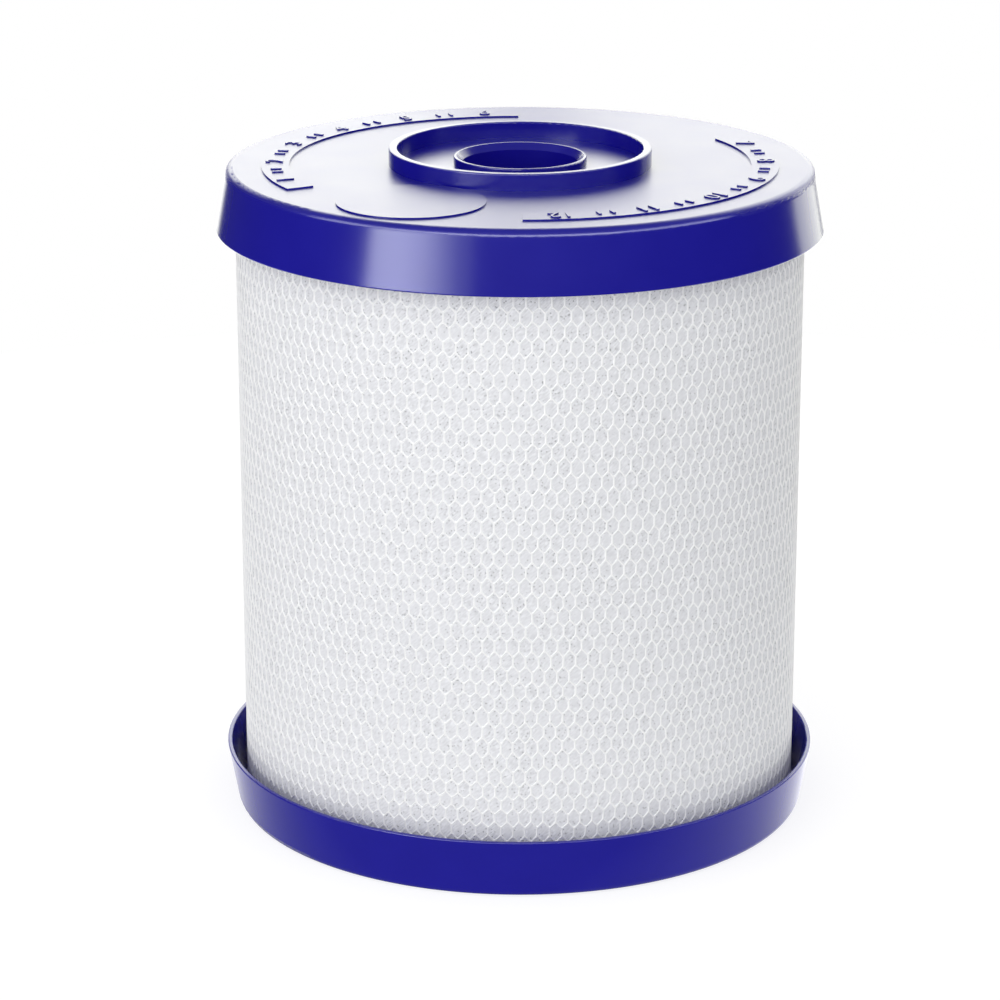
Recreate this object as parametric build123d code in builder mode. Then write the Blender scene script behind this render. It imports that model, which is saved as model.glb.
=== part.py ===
from build123d import *
import os
from math import cos, pi, radians, tan

# Radial-flow carbon-block filter cartridge.
# Millimetres, +Z up. The origin is the centre of the lower cap's flat face, which the cartridge stands on.

# Cartridge as a whole
cartridge_height = 157.5       # between the closed faces of the two caps
glue_bed_thickness = 1.4

# Filter block and its wraps
block_outer_diameter = 132.4
core_wall = 1.6
inner_fleece_thickness = 0.8
prefilter_thickness = 0.9
net_thickness = 0.5
net_web = 0.15                 # thin part of the netting between its upright strands
net_strand_width = 0.5
net_cell_pitch = 2.87

# Windows in the core tube
window_width = 5.0
window_length = 9.0
window_columns = 8
window_row_pitch = 15.0
window_spigot_gap = 6.0        # plain stretch of tube past each centring spigot

# End cap shell
cap_floor = 1.6
cap_wall = 1.1
cap_depth = 14.5
cap_draft = 10.4               # degrees that the skirt flares towards its open edge
cap_clearance = 0.9            # between the netting and the skirt, at the cap's floor
cap_corner_radius = 2.1
cap_rim_radius = 0.3

# Upper cap: outlet, seat ring and collar
outlet_diameter = 27.4
seat_ring_wall = 2.0
seat_ring_height = 1.9
seat_ring_round = 0.35
lead_in_width = 1.3
lead_in_depth = 1.6
collar_diameter = 62.0
collar_wall = 2.0
collar_height = 4.0
collar_round = 0.35

# Centring spigots inside the core tube
spigot_clearance = 0.2
spigot_wall = 1.9
top_spigot_length = 10.0
bottom_spigot_length = 8.0

# Raised pads on the upper cap's face
pad_height = 0.4
arc_pad_width = 6.6
arc_pad_margin = 6.6           # from the pad to the edge of the flat face
arc_pad_sweep = 119.0
arc_pad_starts = (90.5, 270.5)
round_pad_angle = 240.0
round_pad_collar_gap = 1.0     # lets a lid's lip come down round the collar
round_pad_edge_gap = 1.6

# Moulding gate under the lower cap
gate_well_diameter = 9.0
gate_well_depth = 0.5

# Radii from the outlet outwards
outlet_radius = outlet_diameter / 2
seat_ring_radius = outlet_radius + seat_ring_wall
collar_radius = collar_diameter / 2
spigot_outer_radius = outlet_radius + spigot_wall
core_inner_radius = spigot_outer_radius + spigot_clearance
core_outer_radius = core_inner_radius + core_wall
block_inner_radius = core_outer_radius + inner_fleece_thickness
block_outer_radius = block_outer_diameter / 2
prefilter_outer_radius = block_outer_radius + prefilter_thickness
net_outer_radius = prefilter_outer_radius + net_thickness

# Heights from the base upwards
block_bottom = cap_floor + glue_bed_thickness
block_top = cartridge_height - block_bottom
block_length = block_top - block_bottom
top_floor = cartridge_height - cap_floor
top_spigot_bottom = top_floor - top_spigot_length
bottom_spigot_top = cap_floor + bottom_spigot_length
seat_ring_top = cartridge_height + seat_ring_height
collar_top = cartridge_height + collar_height

# Skirt of a cap standing on its closed face: radii at the face, the floor and the open edge
skirt_slope = tan(radians(cap_draft))
skirt_thickness = cap_wall / cos(radians(cap_draft))
skirt_floor_inside = net_outer_radius + cap_clearance
skirt_edge_inside = skirt_floor_inside + (cap_depth - cap_floor) * skirt_slope
skirt_edge_outside = skirt_edge_inside + skirt_thickness
skirt_face_outside = skirt_edge_outside - cap_depth * skirt_slope
flat_face_radius = skirt_face_outside - cap_corner_radius * tan(radians(90 - cap_draft) / 2)

# Flared shell that both caps share, standing on its closed face
with BuildPart() as cap_shell:
    with BuildSketch(Plane.XZ):
        with BuildLine():
            Polyline(
                (0, 0),
                (skirt_face_outside, 0),
                (skirt_edge_outside, cap_depth),
                (skirt_edge_inside, cap_depth),
                (skirt_floor_inside, cap_floor),
                (0, cap_floor),
                close=True,
            )
        make_face()
        face_corner = vertices().group_by(Axis.Y)[0].sort_by(Axis.X)[-1]
        fillet(face_corner, cap_corner_radius)
        rim_corners = vertices().group_by(Axis.Y)[-1]
        fillet(rim_corners, cap_rim_radius)
    revolve(axis=Axis.Z)

# Lower cap: the shell, a ring as wide as the outlet's spigot, and the moulding gate's well underneath
with BuildPart() as bottom_end_cap:
    add(cap_shell.part)
    with BuildSketch(Plane.XY.offset(cap_floor)):
        Circle(spigot_outer_radius)
        Circle(outlet_radius, mode=Mode.SUBTRACT)
    extrude(amount=bottom_spigot_length)
    with BuildSketch(Plane.XY):
        Circle(gate_well_diameter / 2)
    extrude(amount=gate_well_depth, mode=Mode.SUBTRACT)
bottom_end_cap.part.label = "bottom_end_cap"

# Upper cap: the shell turned over, with the outlet, its seat ring and spigot, the collar and the pads
arc_pad_outer_radius = flat_face_radius - arc_pad_margin
arc_pad_inner_radius = arc_pad_outer_radius - arc_pad_width
round_pad_inner_edge = collar_radius + round_pad_collar_gap
round_pad_outer_edge = flat_face_radius - round_pad_edge_gap
round_pad_radius = (round_pad_outer_edge - round_pad_inner_edge) / 2
round_pad_place = round_pad_inner_edge + round_pad_radius

with BuildPart() as top_end_cap:
    mirror(cap_shell.part, about=Plane.XY.offset(cartridge_height / 2))
    # Tube below the floor that centres the core tube
    with BuildSketch(Plane.XY.offset(top_floor)):
        Circle(spigot_outer_radius)
    extrude(amount=-top_spigot_length)
    # Seat ring, rounded on its outer top edge
    with BuildSketch(Plane.XZ):
        with BuildLine():
            Polyline(
                (0, top_floor),
                (seat_ring_radius, top_floor),
                (seat_ring_radius, seat_ring_top),
                (0, seat_ring_top),
                close=True,
            )
        make_face()
        fillet(vertices().group_by(Axis.Y)[-1].sort_by(Axis.X)[-1], seat_ring_round)
    revolve(axis=Axis.Z)
    # Outlet bore with its conical lead-in
    with BuildSketch(Plane.XZ):
        with BuildLine():
            Polyline(
                (0, top_spigot_bottom),
                (outlet_radius, top_spigot_bottom),
                (outlet_radius, seat_ring_top - lead_in_depth),
                (outlet_radius + lead_in_width, seat_ring_top),
                (0, seat_ring_top),
                close=True,
            )
        make_face()
    revolve(axis=Axis.Z, mode=Mode.SUBTRACT)
    # Collar that the housing's lid fits over
    with BuildSketch(Plane.XZ):
        with BuildLine():
            Polyline(
                (collar_radius - collar_wall, top_floor),
                (collar_radius, top_floor),
                (collar_radius, collar_top),
                (collar_radius - collar_wall, collar_top),
                close=True,
            )
        make_face()
        fillet(vertices().group_by(Axis.Y)[-1], collar_round)
    revolve(axis=Axis.Z)
    # Raised pads on the face
    with BuildSketch(Plane.XY.offset(cartridge_height)):
        for arc_pad_start in arc_pad_starts:
            with BuildLine():
                outer_arc = CenterArc((0, 0), arc_pad_outer_radius, arc_pad_start, arc_pad_sweep)
                inner_arc = CenterArc((0, 0), arc_pad_inner_radius, arc_pad_start, arc_pad_sweep)
                Line(outer_arc @ 0, inner_arc @ 0)
                Line(outer_arc @ 1, inner_arc @ 1)
            make_face()
        with PolarLocations(round_pad_place, 1, start_angle=round_pad_angle):
            Circle(round_pad_radius)
    extrude(amount=pad_height)
top_end_cap.part.label = "top_end_cap"

# Netting: a thin sleeve, flat between its upright strands, with one strand for each column of cells
net_web_radius = prefilter_outer_radius + net_web
strand_columns = round(2 * pi * net_outer_radius / net_cell_pitch)
strand_depth = net_thickness - net_web / 2

with BuildPart() as outer_net:
    with BuildSketch(Plane.XY.offset(block_bottom)):
        RegularPolygon(net_web_radius, strand_columns, major_radius=False)
        with PolarLocations(net_outer_radius - strand_depth / 2, strand_columns):
            Rectangle(strand_depth, net_strand_width)
        RegularPolygon(prefilter_outer_radius, strand_columns, major_radius=False, mode=Mode.SUBTRACT)
    extrude(amount=block_length)
outer_net.part.label = "outer_net"

# Fleece wrap under the netting
with BuildPart() as prefilter_fleece:
    with BuildSketch(Plane.XY.offset(block_bottom)):
        Circle(prefilter_outer_radius)
        Circle(block_outer_radius, mode=Mode.SUBTRACT)
    extrude(amount=block_length)
prefilter_fleece.part.label = "prefilter_fleece"

# Pressed carbon block
with BuildPart() as carbon_block:
    with BuildSketch(Plane.XY.offset(block_bottom)):
        Circle(block_outer_radius)
        Circle(block_inner_radius, mode=Mode.SUBTRACT)
    extrude(amount=block_length)
carbon_block.part.label = "carbon_block"

# Fleece wrap between the block and the core tube
with BuildPart() as inner_fleece:
    with BuildSketch(Plane.XY.offset(block_bottom)):
        Circle(block_inner_radius)
        Circle(core_outer_radius, mode=Mode.SUBTRACT)
    extrude(amount=block_length)
inner_fleece.part.label = "inner_fleece"

# Core tube with staggered rows of windows between the two spigots
windows_bottom = bottom_spigot_top + window_spigot_gap
windows_top = top_spigot_bottom - window_spigot_gap
window_rows = int((windows_top - windows_bottom - window_length) / window_row_pitch) + 1
first_window = (windows_bottom + windows_top - (window_rows - 1) * window_row_pitch) / 2
window_step = 360 / window_columns
window_cut = 3 * core_wall     # deep enough to pass the tube's wall on both sides

with BuildPart() as core_tube:
    with BuildSketch(Plane.XY.offset(block_bottom)):
        Circle(core_outer_radius)
        Circle(core_inner_radius, mode=Mode.SUBTRACT)
    extrude(amount=block_length)
    for row in range(window_rows):
        with Locations((0, 0, first_window + row * window_row_pitch)):
            with PolarLocations(core_outer_radius, window_columns, start_angle=row % 2 * window_step / 2):
                Box(window_cut, window_width, window_length, mode=Mode.SUBTRACT)
core_tube.part.label = "core_tube"

# Hot-melt beds that seal the ends of the block and its wraps to the caps
with BuildPart() as bottom_glue_bed:
    with BuildSketch(Plane.XY.offset(cap_floor)):
        Circle(net_outer_radius)
        Circle(core_inner_radius, mode=Mode.SUBTRACT)
    extrude(amount=glue_bed_thickness)
bottom_glue_bed.part.label = "bottom_glue_bed"

with BuildPart() as top_glue_bed:
    with BuildSketch(Plane.XY.offset(block_top)):
        Circle(net_outer_radius)
        Circle(core_inner_radius, mode=Mode.SUBTRACT)
    extrude(amount=glue_bed_thickness)
top_glue_bed.part.label = "top_glue_bed"

os.makedirs("parts", exist_ok=True)
export_step(top_end_cap.part, "parts/top_end_cap.step")
export_step(bottom_end_cap.part, "parts/bottom_end_cap.step")
export_step(outer_net.part, "parts/outer_net.step")
export_step(prefilter_fleece.part, "parts/prefilter_fleece.step")
export_step(carbon_block.part, "parts/carbon_block.step")
export_step(inner_fleece.part, "parts/inner_fleece.step")
export_step(core_tube.part, "parts/core_tube.step")
export_step(top_glue_bed.part, "parts/top_glue_bed.step")
export_step(bottom_glue_bed.part, "parts/bottom_glue_bed.step")
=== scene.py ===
# %% [markdown]
# # Dressing a carbon-block filter cartridge
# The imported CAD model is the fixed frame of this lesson. The two blue caps, the core tube, the glue and
# the carbon block already have their true shapes there, so they only get materials. Three things are
# modelled here, because they are too fine or too soft for plain solids: the hexagonal netting, the
# fleece under it, and the raised numbers on the upper cap.

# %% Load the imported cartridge
from math import atan, cos, pi, radians, sin, tan, tau

import bmesh
import bpy
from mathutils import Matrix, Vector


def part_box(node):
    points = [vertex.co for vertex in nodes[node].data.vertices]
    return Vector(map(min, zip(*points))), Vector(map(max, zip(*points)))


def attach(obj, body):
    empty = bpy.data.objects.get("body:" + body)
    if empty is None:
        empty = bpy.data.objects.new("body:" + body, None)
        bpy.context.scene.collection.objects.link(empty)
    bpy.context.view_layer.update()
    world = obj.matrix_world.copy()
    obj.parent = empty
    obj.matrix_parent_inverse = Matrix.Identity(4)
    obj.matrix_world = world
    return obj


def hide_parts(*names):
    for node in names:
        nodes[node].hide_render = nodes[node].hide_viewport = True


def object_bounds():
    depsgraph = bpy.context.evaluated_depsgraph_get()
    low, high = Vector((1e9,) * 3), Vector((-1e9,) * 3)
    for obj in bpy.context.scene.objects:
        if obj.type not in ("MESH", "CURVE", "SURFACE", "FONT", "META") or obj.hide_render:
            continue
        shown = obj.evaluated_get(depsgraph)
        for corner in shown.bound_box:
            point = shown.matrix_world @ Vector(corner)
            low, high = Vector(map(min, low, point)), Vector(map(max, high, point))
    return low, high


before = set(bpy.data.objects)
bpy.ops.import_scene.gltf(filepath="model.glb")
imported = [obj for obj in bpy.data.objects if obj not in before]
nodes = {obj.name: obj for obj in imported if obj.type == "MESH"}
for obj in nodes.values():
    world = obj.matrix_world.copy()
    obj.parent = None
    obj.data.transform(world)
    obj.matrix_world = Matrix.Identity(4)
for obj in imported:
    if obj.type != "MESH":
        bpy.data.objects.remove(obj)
cad_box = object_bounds()
mm = 0.001
print("nodes", sorted(nodes))
print("CAD box in mm", [[round(v / mm, 2) for v in corner] for corner in cad_box])

# %% [markdown]
# ## The camera
# The picture is taken from a little above with a long lens, so the two caps show as flat ellipses and the
# sides narrow only slightly. The distance, height, tilt and focal length come from fitting a pinhole
# camera to those ellipses. The cartridge stands a little right of the picture's middle, and a small turn
# of the camera does that without any lens shift.

# %% Camera
camera_distance = 831.8 * mm
camera_height = 335.5 * mm
camera_tilt = radians(17.44)
focal_length_pixels = 3590.9
picture_width_pixels = 1000
axis_column_pixels = 520.5
sensor_width_mm = 36

camera_turn = atan((axis_column_pixels - picture_width_pixels / 2) / focal_length_pixels)
bpy.ops.object.camera_add(
    location=(0, -camera_distance, camera_height),
    rotation=(pi / 2 - camera_tilt, 0, camera_turn),
)
camera = bpy.context.object
camera.name = "picture_camera"
camera.data.sensor_width = sensor_width_mm
camera.data.lens = sensor_width_mm * focal_length_pixels / picture_width_pixels
bpy.context.scene.camera = camera
bpy.context.scene.view_settings.view_transform = "Standard"
print("lens", round(camera.data.lens, 1), "mm")

# %% [markdown]
# ## Helpers for materials
# A colour is easiest to judge as the sRGB hex value that a picture shows, but shader sockets hold linear
# light, so one function converts. Another adds a node, sets its properties and fills its sockets with
# values or with the outputs of other nodes, which keeps each material down to a short list.

# %% Colours and nodes
def linear(hex_colour):
    """An sRGB hex colour as the linear RGBA that a shader socket holds."""
    shares = [int(hex_colour[place:place + 2], 16) / 255 for place in (0, 2, 4)]
    return [s / 12.92 if s <= 0.04045 else ((s + 0.055) / 1.055) ** 2.4 for s in shares] + [1.0]


def add_node(tree, kind, sockets, **settings):
    """Adds a node: settings are its properties, sockets its inputs, each a value or another node's output."""
    node = tree.nodes.new(kind)
    for name, value in settings.items():
        setattr(node, name, value)
    for socket, value in sockets.items():
        if isinstance(value, bpy.types.NodeSocket):
            tree.links.new(value, node.inputs[socket])
        else:
            node.inputs[socket].default_value = value
    return node


def empty_material(name):
    """A new material and its node tree with nothing in it."""
    material = bpy.data.materials.new(name)
    material.use_nodes = True
    material.node_tree.nodes.clear()
    return material, material.node_tree


def per_metre(size_in_mm):
    """The texture scale whose features are about this size."""
    return 1 / (size_in_mm * mm)


def dress(piece, material):
    """Gives a piece this one material."""
    piece.data.materials.clear()
    piece.data.materials.append(material)


# A Mix node holds a socket for each kind of value, so its sockets are known by their numbers. The first row
# is for colours, and the second for plain levels.
MIX_FACTOR, MIX_FIRST, MIX_SECOND, MIX_RESULT = 0, 6, 7, 2
LEVEL_FIRST, LEVEL_SECOND, LEVEL_RESULT = 2, 3, 0

# %% [markdown]
# ## Moulded polypropylene for the caps
# The caps are injection-moulded polypropylene, coloured through with a deep blue pigment. Its skin is
# glossy but not a mirror: it has a fine orange peel, and its gloss drifts a little where the plastic
# flowed. So the colour, the roughness and the bump each follow a noise of their own size. The mould's flat
# face was polished less than the rest, so what faces upwards is a little rougher, most of all outside the
# collar.

# %% Cap material
def moulded_polypropylene():
    """Glossy deep blue with soft-edged reflections that waver slightly."""
    material, tree = empty_material("moulded_polypropylene_blue")
    place = add_node(tree, "ShaderNodeTexCoord", {}).outputs["Object"]
    flow = add_node(tree, "ShaderNodeTexNoise", {"Vector": place, "Scale": per_metre(14), "Detail": 3.0})
    peel = add_node(tree, "ShaderNodeTexNoise", {"Vector": place, "Scale": per_metre(0.9), "Detail": 2.0})
    colour = add_node(
        tree,
        "ShaderNodeMix",
        {MIX_FACTOR: flow.outputs["Fac"], MIX_FIRST: linear("120d8a"), MIX_SECOND: linear("151096")},
        data_type="RGBA",
    )
    polish = add_node(
        tree,
        "ShaderNodeMapRange",
        {"Value": flow.outputs["Fac"], "From Min": 0.3, "From Max": 0.7, "To Min": 0.175, "To Max": 0.19},
    )
    facing = add_node(tree, "ShaderNodeNewGeometry", {}).outputs["Normal"]
    upward = add_node(tree, "ShaderNodeSeparateXYZ", {"Vector": facing})
    flat_share = add_node(
        tree,
        "ShaderNodeMapRange",
        {"Value": upward.outputs["Z"], "From Min": 0.4, "From Max": 0.8, "To Min": 0.0, "To Max": 0.18},
    )
    from_axis = add_node(tree, "ShaderNodeVectorMath", {0: place, 1: (1, 1, 0)}, operation="MULTIPLY")
    radius = add_node(tree, "ShaderNodeVectorMath", {0: from_axis.outputs["Vector"]}, operation="LENGTH")
    outside_collar = add_node(
        tree,
        "ShaderNodeMapRange",
        {
            "Value": radius.outputs["Value"],
            "From Min": 30 * mm,
            "From Max": 31 * mm,
            "To Min": 0.55,
            "To Max": 1.0,
        },
    )
    gloss = add_node(
        tree,
        "ShaderNodeMath",
        {0: flat_share.outputs["Result"], 1: outside_collar.outputs["Result"], 2: polish.outputs["Result"]},
        operation="MULTIPLY_ADD",
    )
    skin = add_node(
        tree,
        "ShaderNodeBump",
        {"Height": peel.outputs["Fac"], "Strength": 0.06, "Distance": 0.008 * mm},
    )
    shader = add_node(
        tree,
        "ShaderNodeBsdfPrincipled",
        {
            "Base Color": colour.outputs[MIX_RESULT],
            "Roughness": gloss.outputs["Value"],
            "IOR": 1.49,
            "Normal": skin.outputs["Normal"],
        },
    )
    add_node(tree, "ShaderNodeOutputMaterial", {"Surface": shader.outputs["BSDF"]})
    return material


cap_plastic = moulded_polypropylene()
for name in ("top_end_cap", "bottom_end_cap"):
    dress(nodes[name], cap_plastic)
print("caps are", cap_plastic.name)

# %% [markdown]
# ## The hidden pieces
# Behind the outlet stand a white core tube, the fleece round it, the black carbon block and two rings of
# hot-melt glue. Only glimpses of them show, down the bore, but each still gets the finish of its own
# material: satin plastic, pressed granules, and glue that dried with a slightly rippled skin. One function
# makes all three, because each is a base colour that wanders between two tones and a noise that roughens it.

# %% Core, carbon and glue materials
def grainy_material(name, dark, light, grain_mm, relief_mm, roughness):
    """A colour that wanders between two tones, over a relief of grains of one size."""
    material, tree = empty_material(name)
    place = add_node(tree, "ShaderNodeTexCoord", {}).outputs["Object"]
    grain = add_node(
        tree,
        "ShaderNodeTexNoise",
        {"Vector": place, "Scale": per_metre(grain_mm), "Detail": 4.0},
    )
    colour = add_node(
        tree,
        "ShaderNodeMix",
        {MIX_FACTOR: grain.outputs["Fac"], MIX_FIRST: linear(dark), MIX_SECOND: linear(light)},
        data_type="RGBA",
    )
    relief = add_node(
        tree,
        "ShaderNodeBump",
        {"Height": grain.outputs["Fac"], "Strength": 0.6, "Distance": relief_mm * mm},
    )
    shader = add_node(
        tree,
        "ShaderNodeBsdfPrincipled",
        {
            "Base Color": colour.outputs[MIX_RESULT],
            "Roughness": roughness,
            "Normal": relief.outputs["Normal"],
        },
    )
    add_node(tree, "ShaderNodeOutputMaterial", {"Surface": shader.outputs["BSDF"]})
    return material


natural_plastic = grainy_material("moulded_polypropylene_natural", "dcdcda", "e9e9e6", 2.0, 0.01, 0.38)
dress(nodes["core_tube"], natural_plastic)
pressed_carbon = grainy_material("pressed_carbon", "0e0e0f", "232324", 0.5, 0.15, 0.8)
dress(nodes["carbon_block"], pressed_carbon)
hot_melt = grainy_material("hot_melt_glue", "d9d2bd", "ebe6d6", 3.5, 0.2, 0.3)
for name in ("top_glue_bed", "bottom_glue_bed"):
    dress(nodes[name], hot_melt)
print("core, carbon and glue have their finishes")

# %% [markdown]
# ## Helpers for modelling
# Operators work on whatever is selected, and the imported nodes are still selected, so each piece starts
# from an empty selection. Inside edit mode a small function selects vertices by where they are, the way a
# hand would drag a box round them.

# %% Selecting by place
def start_clean():
    """Leaves edit mode and deselects everything."""
    if bpy.context.object and bpy.context.object.mode != "OBJECT":
        bpy.ops.object.mode_set(mode="OBJECT")
    bpy.ops.object.select_all(action="DESELECT")


def select_vertices(is_wanted):
    """In edit mode, selects just the vertices whose place passes the test."""
    bpy.ops.mesh.select_mode(type="VERT")
    bpy.ops.mesh.select_all(action="DESELECT")
    shape = bmesh.from_edit_mesh(bpy.context.object.data)
    for vertex in shape.verts:
        vertex.select = is_wanted(vertex.co)
    shape.select_flush_mode()
    bmesh.update_edit_mesh(bpy.context.object.data)


def triangle_count(piece):
    """How many triangles the piece's faces come to."""
    return sum(len(face.vertices) - 2 for face in piece.data.polygons)


# %% [markdown]
# ## The netting: one cell
# The netting is extruded polyethylene, drawn over the fleece like a sleeve. Its openings are upright
# hexagons with blunt points. One cell is enough to model: an eight-sided opening lies on the fleece, with
# its ends drawn in and its shoulders moved until the strands are about equally wide all round. Its edge is
# extruded outwards to the middle of the strands, where the next cells join on, and that middle is raised to
# make the strand's crest. The two outer points at the top and at the bottom merge into one, so the outside
# is a hexagon that tiles.

# %% Netting sizes
net_low, net_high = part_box("outer_net")
fleece_low, fleece_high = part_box("prefilter_fleece")
fleece_radius = fleece_high.x
net_columns = 148
net_rows = 42
lower_end_gap = 2.54 * mm
upper_end_gap = 0.95 * mm
zigzag_height = 1.5 * mm
strand_half_width = 0.255 * mm
strand_height = 0.21 * mm
strand_sink = 0.03 * mm
end_blunting = 0.12 * mm
end_narrowing = 0.45

net_bottom = net_low.z + lower_end_gap
net_top = net_high.z - upper_end_gap
cell_width = tau * fleece_radius / net_columns
row_pitch = (net_top - net_bottom - zigzag_height) / net_rows
leg_height = row_pitch - zigzag_height
print("cell", round(cell_width / mm, 3), "by", round(row_pitch / mm, 3), "mm")

# %% One cell
roof_slope = atan(zigzag_height / (cell_width / 2))
roof_depth = strand_half_width / cos(roof_slope)
opening_half_width = cell_width / 2 - strand_half_width
opening_half_height = leg_height / 2 + zigzag_height - roof_depth - end_blunting
shoulder = leg_height / 2 + strand_half_width * tan(roof_slope) - roof_depth
corner = radians(22.5)

start_clean()
bpy.ops.mesh.primitive_circle_add(vertices=8, radius=1, rotation=(pi / 2, corner, 0))
net_cell = bpy.context.object
bpy.ops.object.transform_apply(location=False, rotation=True, scale=False)
bpy.ops.object.mode_set(mode="EDIT")
bpy.ops.mesh.select_all(action="SELECT")
opening_scale = (opening_half_width / cos(corner), 1, opening_half_height / cos(corner))
bpy.ops.transform.resize(value=opening_scale, center_override=(0, 0, 0))
bpy.ops.transform.translate(value=(0, strand_sink, 0))
plain_shoulder = opening_half_height * tan(corner)
above_shoulder = 1.1 * plain_shoulder
select_vertices(lambda place: abs(place.z) > above_shoulder)
bpy.ops.transform.resize(value=(end_narrowing, 1, 1), center_override=(0, 0, 0))
select_vertices(lambda place: abs(place.z) < above_shoulder)
bpy.ops.transform.resize(value=(1, 1, shoulder / plain_shoulder), center_override=(0, 0, 0))
bpy.ops.mesh.select_all(action="SELECT")

crest_scale = (cell_width / 2 / opening_half_width, 1, leg_height / 2 / shoulder)
bpy.ops.mesh.extrude_edges_move()
bpy.ops.transform.resize(value=crest_scale, center_override=(0, 0, 0))
bpy.ops.transform.translate(value=(0, -strand_sink - strand_height, 0))
for side in (1, -1):
    tip = side * (leg_height / 2 + zigzag_height)
    select_vertices(lambda place: place.y < 0 and place.z * side > leg_height / 2 + 0.1 * mm)
    merged_height = side * opening_half_height * crest_scale[2]
    bpy.ops.mesh.merge(type="CENTER")
    bpy.ops.transform.translate(value=(0, 0, tip - merged_height))

# The underside is the same ring pressed flat. Its edges are sharp, so that the strand shades as a rounded
# bead.
bpy.ops.mesh.select_all(action="SELECT")
bpy.ops.mesh.duplicate()
bpy.ops.transform.resize(value=(1, 0, 1), center_override=(0, strand_sink, 0))
bpy.ops.mesh.select_all(action="SELECT")
bpy.ops.mesh.remove_doubles(threshold=0.001 * mm)
select_vertices(lambda place: place.y > 0)
bpy.ops.mesh.mark_sharp()
bpy.ops.object.mode_set(mode="OBJECT")
print("one cell has", triangle_count(net_cell), "triangles")

# %% [markdown]
# ## The netting: rows and columns
# The cell is repeated flat, by Array modifiers, as cells lie in a sheet of chicken wire: the odd rows in
# line, and the even rows half a cell to the side. The two sets are joined and the shared edges merged. The
# sheet stops a little short of the glue at both ends, where the caps' skirts hide it.

# %% Flat sheet of cells
first_column = -cell_width * net_columns / 2
first_row = net_bottom + zigzag_height + leg_height / 2


def lay_rows(piece, row, count):
    """Moves the cell to the start of a row, repeats it along the row and on every second row."""
    start_clean()
    piece.select_set(True)
    bpy.context.view_layer.objects.active = piece
    piece.location = (first_column + cell_width / 2 * (row % 2), 0, first_row + row * row_pitch)
    bpy.ops.object.transform_apply(location=True, rotation=False, scale=False)
    steps = {"columns": (net_columns, (cell_width, 0, 0)), "rows": (count, (0, 0, 2 * row_pitch))}
    for name, (copies, step) in steps.items():
        array = piece.modifiers.new(name, "ARRAY")
        array.count = copies
        array.use_relative_offset = False
        array.use_constant_offset = True
        array.constant_offset_displace = step
        bpy.ops.object.modifier_apply(modifier=name)


even_cell = net_cell.copy()
even_cell.data = net_cell.data.copy()
bpy.context.collection.objects.link(even_cell)
lay_rows(net_cell, 0, (net_rows + 1) // 2)
lay_rows(even_cell, 1, net_rows // 2)
net_cell.select_set(True)
bpy.context.view_layer.objects.active = net_cell
bpy.ops.object.join()
net = net_cell
net.name = "netting"
bpy.ops.object.mode_set(mode="EDIT")
bpy.ops.mesh.select_all(action="SELECT")
bpy.ops.mesh.remove_doubles(threshold=0.005 * mm)
bpy.ops.object.mode_set(mode="OBJECT")
print("flat netting has", triangle_count(net), "triangles")

# %% [markdown]
# ## The netting: drawn unevenly
# Real netting is stretched by hand over the fleece, so its rows wave and no two cells are quite alike.
# Displace modifiers with cloud textures do that on the flat sheet, sideways and up. A vertex group fades
# them out towards the sheet's four edges, so that the sheet still closes on itself and ends at the caps.

# %% Uneven rows
edge_fade = 12 * mm
half_length = cell_width * net_columns / 2


def smooth_step(share):
    """Rises from 0 to 1 with a gentle start and end."""
    share = min(max(share, 0), 1)
    return share * share * (3 - 2 * share)


slack = net.vertex_groups.new(name="slack")
for vertex in net.data.vertices:
    to_side = half_length - abs(vertex.co.x) - cell_width
    to_end = min(vertex.co.z - net_bottom, net_top - vertex.co.z)
    slack.add([vertex.index], smooth_step(to_side / edge_fade) * smooth_step(to_end / edge_fade), "REPLACE")

for direction, size_mm, reach_mm, basis in (
    ("X", 22, 1.3, "ORIGINAL_PERLIN"),
    ("X", 4.5, 0.45, "IMPROVED_PERLIN"),
    ("Z", 17, 1.9, "BLENDER_ORIGINAL"),
    ("Z", 5, 0.6, "ORIGINAL_PERLIN"),
):
    name = f"drawn_{direction}_{size_mm}"
    clouds = bpy.data.textures.new(name, "CLOUDS")
    clouds.noise_scale = size_mm * mm
    clouds.noise_basis = basis
    clouds.noise_depth = 1
    pull = net.modifiers.new(name, "DISPLACE")
    pull.texture = clouds
    pull.texture_coords = "LOCAL"
    pull.direction = direction
    pull.strength = reach_mm * mm
    pull.vertex_group = "slack"
    bpy.ops.object.modifier_apply(modifier=name)
net.vertex_groups.clear()
print("netting pulled out of line")

# %% [markdown]
# ## The netting: wrapped round
# A Simple Deform bend rolls the flat sheet into a tube. The bend divides its angle over the sheet's whole
# length, and the even rows stand out by half a cell at one end, so the angle is a little over a full turn
# and that half cell lands in the gap at the other end. Then the tube is centred on the cartridge's axis and
# its two edges are merged. At its ends the crests are still open, so those edges are extruded down to the
# underside and merged with it.

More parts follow.
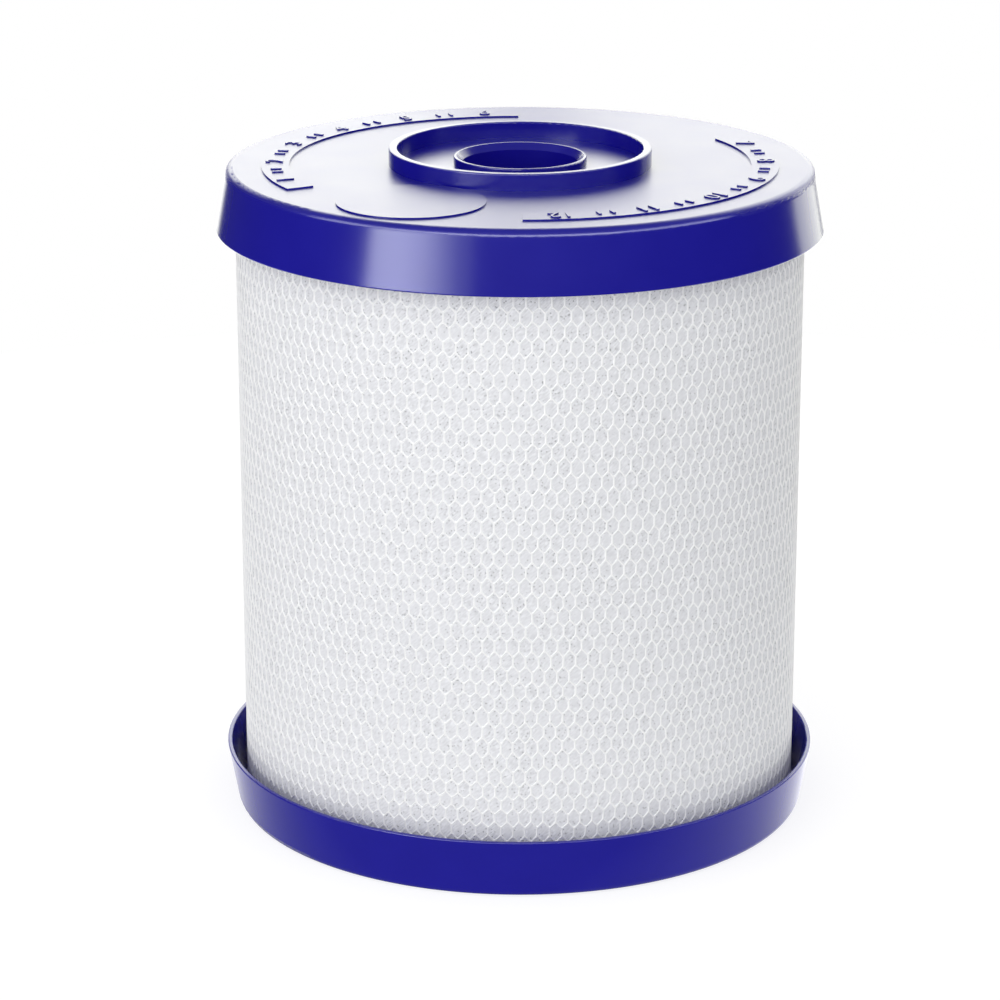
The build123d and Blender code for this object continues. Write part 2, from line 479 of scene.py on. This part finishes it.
# %% Wrap and close
sheet_places = [vertex.co.x for vertex in net.data.vertices]
roll = net.modifiers.new("roll", "SIMPLE_DEFORM")
roll.deform_method = "BEND"
roll.deform_axis = "Z"
roll.angle = (max(sheet_places) - min(sheet_places)) / fleece_radius
bpy.ops.object.modifier_apply(modifier="roll")
net.location.y = -fleece_radius
bpy.ops.object.transform_apply(location=True, rotation=False, scale=False)
bpy.ops.object.mode_set(mode="EDIT")
bpy.ops.mesh.select_all(action="SELECT")
bpy.ops.mesh.remove_doubles(threshold=0.02 * mm)
bpy.ops.mesh.select_mode(type="EDGE")
bpy.ops.mesh.select_all(action="DESELECT")
shape = bmesh.from_edit_mesh(net.data)
for edge in shape.edges:
    edge.select = edge.is_boundary and edge.verts[0].co.xy.length > fleece_radius
open_crests = sum(1 for edge in shape.edges if edge.select)
bmesh.update_edit_mesh(net.data)
down_to_underside = (fleece_radius - strand_sink) / (fleece_radius + strand_height)
bpy.ops.mesh.extrude_edges_move()
bpy.ops.transform.resize(value=(down_to_underside, down_to_underside, 1), center_override=(0, 0, 0))
bpy.ops.mesh.select_all(action="SELECT")
bpy.ops.mesh.remove_doubles(threshold=0.02 * mm)
bpy.ops.mesh.normals_make_consistent(inside=False)
bpy.ops.object.mode_set(mode="OBJECT")
bpy.ops.object.shade_smooth()
print("netting has", triangle_count(net), "triangles;", open_crests, "crest edges closed at its ends")

# %% [markdown]
# ## Extruded polyethylene for the netting
# The strands are drawn out of a die while soft. That leaves them milky white with a satin shine and faint
# streaks along their length, so the roughness and a slight relief follow a fine noise.

# %% Netting material
def extruded_polyethylene():
    """Milky white with a satin shine."""
    material, tree = empty_material("extruded_polyethylene_white")
    place = add_node(tree, "ShaderNodeTexCoord", {}).outputs["Object"]
    streak = add_node(tree, "ShaderNodeTexNoise", {"Vector": place, "Scale": per_metre(0.8), "Detail": 2.0})
    colour = add_node(
        tree,
        "ShaderNodeMix",
        {MIX_FACTOR: streak.outputs["Fac"], MIX_FIRST: linear("f2f3f5"), MIX_SECOND: linear("fafafb")},
        data_type="RGBA",
    )
    shine = add_node(
        tree,
        "ShaderNodeMapRange",
        {"Value": streak.outputs["Fac"], "From Min": 0.3, "From Max": 0.7, "To Min": 0.38, "To Max": 0.5},
    )
    shader = add_node(
        tree,
        "ShaderNodeBsdfPrincipled",
        {"Base Color": colour.outputs[MIX_RESULT], "Roughness": shine.outputs["Result"], "IOR": 1.5},
    )
    add_node(tree, "ShaderNodeOutputMaterial", {"Surface": shader.outputs["BSDF"]})
    return material


dress(net, extruded_polyethylene())
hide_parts("outer_net")
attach(net, "root")
print("netting dressed")

# %% [markdown]
# ## The fleece
# Under the netting lies a non-woven polypropylene fleece, cut as a strip and wrapped once round the block.
# It starts as an open tube that is cut into rings, so that it can be pressed in slightly here and there,
# and a Solidify modifier gives it the fleece's thickness inwards, down to the carbon block.

# %% Fleece piece
fleece_segments = 222
fleece_rings = 60
fleece_dents = 0.08 * mm
block_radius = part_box("carbon_block")[1].x
fleece_height = fleece_high.z - fleece_low.z

start_clean()
bpy.ops.mesh.primitive_cylinder_add(
    vertices=fleece_segments,
    radius=fleece_radius,
    depth=fleece_height,
    end_fill_type="NOTHING",
    location=(0, 0, (fleece_low.z + fleece_high.z) / 2),
)
fleece = bpy.context.object
fleece.name = "fleece_wrap"
bpy.ops.object.transform_apply(location=True, rotation=False, scale=False)
bpy.ops.object.mode_set(mode="EDIT")
bpy.ops.mesh.select_mode(type="EDGE")
bpy.ops.mesh.select_all(action="DESELECT")
shape = bmesh.from_edit_mesh(fleece.data)
for edge in shape.edges:
    edge.select = abs(edge.verts[0].co.z - edge.verts[1].co.z) > fleece_height / 2
bmesh.update_edit_mesh(fleece.data)
bpy.ops.mesh.subdivide(number_cuts=fleece_rings)
bpy.ops.object.mode_set(mode="OBJECT")
bpy.ops.object.shade_smooth()

soft_spots = bpy.data.textures.new("soft_spots", "CLOUDS")
soft_spots.noise_scale = 9 * mm
press = fleece.modifiers.new("press", "DISPLACE")
press.texture = soft_spots
press.texture_coords = "LOCAL"
press.mid_level = 1
press.strength = fleece_dents
bpy.ops.object.modifier_apply(modifier="press")
wall = fleece.modifiers.new("wall", "SOLIDIFY")
wall.thickness = fleece_radius - block_radius - fleece_dents
wall.offset = -1
bpy.ops.object.modifier_apply(modifier="wall")
print("fleece has", triangle_count(fleece), "triangles")

# %% [markdown]
# ## Spun-bonded fleece
# Fine polypropylene fibres are blown onto a belt and rolled together. Close up that leaves a pale grey
# white with slanting fibre marks, a soft mottle where the fibres lie thicker, and a few dark specks of
# carbon dust from the block behind. The slanting marks need the tube unrolled flat, so the angle round the
# axis is turned into a length along the strip. The mottle and specks follow the place itself.

# %% Fleece material
def spun_bonded_fleece():
    """Dull pale white with slanting fibre marks, a mottle and carbon specks."""
    material, tree = empty_material("spun_bonded_polypropylene")
    place = add_node(tree, "ShaderNodeTexCoord", {}).outputs["Object"]
    across = add_node(tree, "ShaderNodeSeparateXYZ", {"Vector": place})
    angle = add_node(
        tree,
        "ShaderNodeMath",
        {0: across.outputs["Y"], 1: across.outputs["X"]},
        operation="ARCTAN2",
    )
    along = add_node(
        tree,
        "ShaderNodeMath",
        {0: angle.outputs["Value"], 1: fleece_radius},
        operation="MULTIPLY",
    )
    unrolled = add_node(tree, "ShaderNodeCombineXYZ", {"X": along.outputs["Value"], "Y": across.outputs["Z"]})
    slanting = add_node(
        tree,
        "ShaderNodeMapping",
        {"Vector": unrolled.outputs["Vector"], "Rotation": (0, 0, radians(-42))},
    )
    stretched = add_node(
        tree,
        "ShaderNodeMapping",
        {"Vector": slanting.outputs["Vector"], "Scale": (per_metre(1.5), per_metre(0.22), 1)},
    )
    fibres = add_node(
        tree,
        "ShaderNodeTexNoise",
        {"Vector": stretched.outputs["Vector"], "Scale": 1.0, "Detail": 2.0},
    )
    marks = add_node(
        tree,
        "ShaderNodeMapRange",
        {"Value": fibres.outputs["Fac"], "From Min": 0.40, "From Max": 0.60, "To Min": 0.0, "To Max": 1.0},
    )
    mottle = add_node(tree, "ShaderNodeTexNoise", {"Vector": place, "Scale": per_metre(5), "Detail": 3.0})
    patchy = add_node(
        tree,
        "ShaderNodeMapRange",
        {"Value": mottle.outputs["Fac"], "From Min": 0.4, "From Max": 0.7, "To Min": 0.0, "To Max": 0.6},
    )
    dust = add_node(tree, "ShaderNodeTexVoronoi", {"Vector": place, "Scale": per_metre(0.85)})
    speck = add_node(
        tree,
        "ShaderNodeMapRange",
        {
            "Value": dust.outputs["Distance"],
            "From Min": 0.13,
            "From Max": 0.20,
            "To Min": 0.75,
            "To Max": 0.0,
        },
    )
    pale = add_node(
        tree,
        "ShaderNodeMix",
        {MIX_FACTOR: marks.outputs["Result"], MIX_FIRST: linear("cfd0d4"), MIX_SECOND: linear("ecedf1")},
        data_type="RGBA",
    )
    mottled = add_node(
        tree,
        "ShaderNodeMix",
        {
            MIX_FACTOR: patchy.outputs["Result"],
            MIX_FIRST: pale.outputs[MIX_RESULT],
            MIX_SECOND: linear("e0e1e5"),
        },
        data_type="RGBA",
    )
    speckled = add_node(
        tree,
        "ShaderNodeMix",
        {
            MIX_FACTOR: speck.outputs["Result"],
            MIX_FIRST: mottled.outputs[MIX_RESULT],
            MIX_SECOND: linear("55565a"),
        },
        data_type="RGBA",
    )
    nap = add_node(
        tree,
        "ShaderNodeBump",
        {"Height": fibres.outputs["Fac"], "Strength": 0.5, "Distance": 0.03 * mm},
    )
    shader = add_node(
        tree,
        "ShaderNodeBsdfPrincipled",
        {
            "Base Color": speckled.outputs[MIX_RESULT],
            "Roughness": 0.9,
            "Specular IOR Level": 0.2,
            "Sheen Weight": 0.1,
            "Normal": nap.outputs["Normal"],
        },
    )
    add_node(tree, "ShaderNodeOutputMaterial", {"Surface": shader.outputs["BSDF"]})
    return material


fleece_finish = spun_bonded_fleece()
dress(fleece, fleece_finish)
dress(nodes["inner_fleece"], fleece_finish)
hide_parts("prefilter_fleece")
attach(fleece, "root")
print("fleece strip", round(tau * fleece_radius / mm, 1), "by", round(fleece_height / mm, 1), "mm")

# %% [markdown]
# ## The raised numbers
# The two curved pads on the upper cap carry raised marks, moulded with the cap. Here they are the numbers
# of the months, 1 to 12, with short bars between them, as on a dial that reminds when to change the
# cartridge. Text objects give the figures their outlines and height, are made into meshes and are then
# turned so that their tops point outwards. The bars are cubes with rounded edges.

# %% Numbers and bars
cap_face = 157.5 * mm
pad_top = cap_face + 0.4 * mm
pad_middle_radius = 57.7 * mm
mark_height = 0.4 * mm
mark_sink = 0.05 * mm
figure_size = 6.0 * mm
bar_width = 0.7 * mm
bar_length = 2.6 * mm
bar_rounding = 0.12 * mm
bar_shares = (0.42, 0.58)
left_pad = range(1, 7)
right_pad = range(7, 13)
month_step = radians(20.4)
first_left = radians(201)
first_right = radians(21)
marks = []


def stand_on_pad(piece, angle):
    """Places a flat mark on the pad with its top outwards, and writes the place into its mesh."""
    height = pad_top + mark_height / 2 - mark_sink
    piece.location = (pad_middle_radius * cos(angle), pad_middle_radius * sin(angle), height)
    piece.rotation_euler.z = angle - pi / 2
    bpy.ops.object.transform_apply(location=True, rotation=True, scale=True)
    marks.append(piece)


for months, first in ((left_pad, first_left), (right_pad, first_right)):
    for place_on_pad, month in enumerate(months):
        angle = first - place_on_pad * month_step
        start_clean()
        bpy.ops.object.text_add()
        figure = bpy.context.object
        figure.data.body = str(month)
        figure.data.size = figure_size
        figure.data.align_x = "CENTER"
        figure.data.align_y = "CENTER"
        figure.data.extrude = mark_height / 2
        figure.data.resolution_u = 4
        bpy.ops.object.convert(target="MESH")
        stand_on_pad(bpy.context.object, angle)
        if month == months[-1]:
            continue
        for share in bar_shares:
            start_clean()
            bpy.ops.mesh.primitive_cube_add(size=1)
            bar = bpy.context.object
            bar.scale = (bar_width, bar_length, mark_height)
            bpy.ops.object.transform_apply(location=False, rotation=False, scale=True)
            bpy.ops.object.mode_set(mode="EDIT")
            bpy.ops.mesh.select_all(action="SELECT")
            bpy.ops.mesh.bevel(offset=bar_rounding, segments=2, affect="EDGES")
            bpy.ops.object.mode_set(mode="OBJECT")
            stand_on_pad(bar, angle - share * month_step)

start_clean()
for mark in marks:
    mark.select_set(True)
bpy.context.view_layer.objects.active = marks[0]
bpy.ops.object.join()
numbers = bpy.context.object
numbers.name = "raised_numbers"
bpy.ops.object.mode_set(mode="EDIT")
bpy.ops.mesh.select_all(action="SELECT")
bpy.ops.mesh.remove_doubles(threshold=0.001 * mm)
bpy.ops.mesh.normals_make_consistent(inside=False)
bpy.ops.object.mode_set(mode="OBJECT")
dress(numbers, cap_plastic)
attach(numbers, "root")
print("raised marks have", triangle_count(numbers), "triangles")

# %% [markdown]
# ## The floor
# The cartridge stands on a white light table. To the camera most of its white glows from within, so the
# shadow that its paint keeps is faint. Its glow also lights the netting from below, most of all from close
# by. The blue plastic mirrors it as darker in front and brighter at the back, where the white backdrop stands
# behind it. From below it is clear, so that the underside can be looked at.

# %% Floor
floor_radius = 0.45
floor_gap = 0.05 * mm
start_clean()
bpy.ops.mesh.primitive_circle_add(
    vertices=96,
    radius=floor_radius,
    fill_type="NGON",
    location=(0, 0, -floor_gap),
)
floor = bpy.context.object
floor.name = "table"
material, tree = empty_material("white_table")
paths = add_node(tree, "ShaderNodeLightPath", {})
place = add_node(tree, "ShaderNodeTexCoord", {}).outputs["Object"]
towards_back = add_node(tree, "ShaderNodeVectorMath", {0: place, 1: (0.2, 1, 0)}, operation="DOT_PRODUCT")
mirrored_level = add_node(
    tree,
    "ShaderNodeMapRange",
    {
        "Value": towards_back.outputs["Value"],
        "From Min": -0.07,
        "From Max": 0.06,
        "To Min": 0.2,
        "To Max": 2.4,
    },
)
mirrored = add_node(
    tree,
    "ShaderNodeEmission",
    {"Color": (1, 1, 1, 1), "Strength": mirrored_level.outputs["Result"]},
)
from_axis = add_node(tree, "ShaderNodeVectorMath", {0: place}, operation="LENGTH")
near_glow = add_node(
    tree,
    "ShaderNodeMapRange",
    {"Value": from_axis.outputs["Value"], "From Min": 0.10, "From Max": 0.25, "To Min": 0.65, "To Max": 0.3},
)
glow_level = add_node(
    tree,
    "ShaderNodeMix",
    {MIX_FACTOR: paths.outputs["Is Camera Ray"], LEVEL_FIRST: near_glow.outputs["Result"], LEVEL_SECOND: 0.8},
    data_type="FLOAT",
)
glow = add_node(
    tree,
    "ShaderNodeEmission",
    {"Color": (1, 1, 1, 1), "Strength": glow_level.outputs[LEVEL_RESULT]},
)
paint = add_node(tree, "ShaderNodeBsdfDiffuse", {"Color": linear("959595")})
lit = add_node(tree, "ShaderNodeAddShader", {0: paint.outputs["BSDF"], 1: glow.outputs["Emission"]})
both = add_node(
    tree,
    "ShaderNodeMixShader",
    {0: paths.outputs["Is Glossy Ray"], 1: lit.outputs["Shader"], 2: mirrored.outputs["Emission"]},
)
behind = add_node(tree, "ShaderNodeNewGeometry", {}).outputs["Backfacing"]
open_below = add_node(tree, "ShaderNodeBsdfTransparent", {})
one_sided = add_node(
    tree,
    "ShaderNodeMixShader",
    {0: behind, 1: both.outputs["Shader"], 2: open_below.outputs["BSDF"]},
)
add_node(tree, "ShaderNodeOutputMaterial", {"Surface": one_sided.outputs["Shader"]})
dress(floor, material)
print("floor of", floor_radius, "m")

# %% [markdown]
# ## The light
# It is a plain studio. A white surround gives the even light, which is strongest from the front on the left.
# The lamps only make the reflections in the blue plastic. A low row of soft boxes in front on the left, each
# dimmer than the one before, leaves the upright highlight that fades to the right, and a higher row right
# across the front draws the line along the cap's edge. Three panels behind, two high and one low, are
# mirrored in the cap's face, which is seen so flatly that it reflects almost like a mirror, and two on the
# right whiten the cap's right end. Each lamp is given by its radiance, as a meter pointed at it would read.

# %% Surround
surround = bpy.data.worlds.new("studio_surround")
bpy.context.scene.world = surround
surround.use_nodes = True
tree = surround.node_tree
tree.nodes.clear()
paths = add_node(tree, "ShaderNodeLightPath", {})
direction = add_node(tree, "ShaderNodeTexCoord", {}).outputs["Generated"]
across = add_node(tree, "ShaderNodeSeparateXYZ", {"Vector": direction})
backdrop = add_node(
    tree,
    "ShaderNodeMapRange",
    {"Value": across.outputs["Y"], "From Min": 0.9, "From Max": 0.98, "To Min": 0.06, "To Max": 1.0},
)
front_left = (-0.353, -0.919, 0.174)
towards_front = add_node(tree, "ShaderNodeVectorMath", {0: direction, 1: front_left}, operation="DOT_PRODUCT")
share = add_node(
    tree,
    "ShaderNodeMapRange",
    {
        "Value": towards_front.outputs["Value"],
        "From Min": -1.0,
        "From Max": 1.0,
        "To Min": 0.0,
        "To Max": 1.0,
    },
)
bundled = add_node(tree, "ShaderNodeMath", {0: share.outputs["Result"], 1: 4.0}, operation="POWER")
fill = add_node(
    tree,
    "ShaderNodeMath",
    {0: bundled.outputs["Value"], 1: 1.13, 2: 0.58},
    operation="MULTIPLY_ADD",
)
mirrored = add_node(
    tree,
    "ShaderNodeMix",
    {
        MIX_FACTOR: paths.outputs["Is Glossy Ray"],
        LEVEL_FIRST: fill.outputs["Value"],
        LEVEL_SECOND: backdrop.outputs["Result"],
    },
    data_type="FLOAT",
)
clear = add_node(
    tree,
    "ShaderNodeMath",
    {0: paths.outputs["Is Camera Ray"], 1: paths.outputs["Is Transmission Ray"]},
    operation="MAXIMUM",
)
level = add_node(
    tree,
    "ShaderNodeMix",
    {MIX_FACTOR: clear.outputs["Value"], LEVEL_FIRST: mirrored.outputs[LEVEL_RESULT], LEVEL_SECOND: 1.0},
    data_type="FLOAT",
)
sky = add_node(
    tree,
    "ShaderNodeBackground",
    {"Color": (1, 1, 1, 1), "Strength": level.outputs[LEVEL_RESULT]},
)
add_node(tree, "ShaderNodeOutputWorld", {"Surface": sky.outputs["Background"]})
print("surround", surround.name)

# %% Lamps
middle = (cad_box[0] + cad_box[1]) / 2
cool_white = (0.97, 1.0, 0.98)
warm_white = (0.99, 1.0, 0.84)


def soft_box(name, place, width, height, radiance, colour):
    """A rectangular lamp that faces the cartridge and only shows in its reflections."""
    start_clean()
    bpy.ops.object.light_add(type="AREA", location=place)
    lamp = bpy.context.object
    lamp.name = name
    lamp.data.shape = "RECTANGLE"
    lamp.data.size = width
    lamp.data.size_y = height
    lamp.data.energy = radiance * pi * width * height
    lamp.data.color = colour
    facing = lamp.location - middle
    lamp.rotation_euler = facing.to_track_quat("Z", "Y").to_euler()
    lamp.visible_camera = False
    lamp.visible_diffuse = False
    return lamp


key_distance = 1.1
rows = {"low": (0.04, 0.50), "high": (0.60, 1.04)}
for number, (left, right, low_radiance, high_radiance) in enumerate((
    (-90, -56, 0, 5.5),
    (-56, -40, 9.4, 8),
    (-40, -34, 8.0, 8),
    (-34, -29, 5.8, 8),
    (-29, -24, 3.3, 8),
    (-24, -17, 1.3, 8),
    (-17, 40, 0, 8),
    (40, 90, 0, 5.5),
)):
    turn = radians(left + right) / 2
    width = 2 * key_distance * tan(radians(right - left) / 2)
    for row, radiance in (("low", low_radiance), ("high", high_radiance)):
        low, high = rows[row]
        place = (key_distance * sin(turn), -key_distance * cos(turn), (low + high) / 2)
        if radiance:
            soft_box(f"front_{row}_{number + 1}", place, width, high - low, radiance, cool_white)
soft_box("back_high_left", (-0.185, 0.85, 0.50), 0.37, 0.62, 4.4, warm_white)
soft_box("back_high_right", (0.20, 0.85, 0.50), 0.40, 0.62, 4.0, warm_white)
soft_box("back_low", (-0.03, 0.85, -0.05), 0.78, 0.46, 1.6, warm_white)
soft_box("right_low", (0.61, 0.68, -0.02), 0.48, 0.46, 2.6, warm_white)
soft_box("right_high", (0.545, 0.78, 0.58), 0.44, 0.72, 3.0, warm_white)

# %% [markdown]
# ## Finish
# The dressed model must not outgrow the CAD model. Last, the view layer is brought up to date.

# %% Finish
bpy.context.view_layer.update()
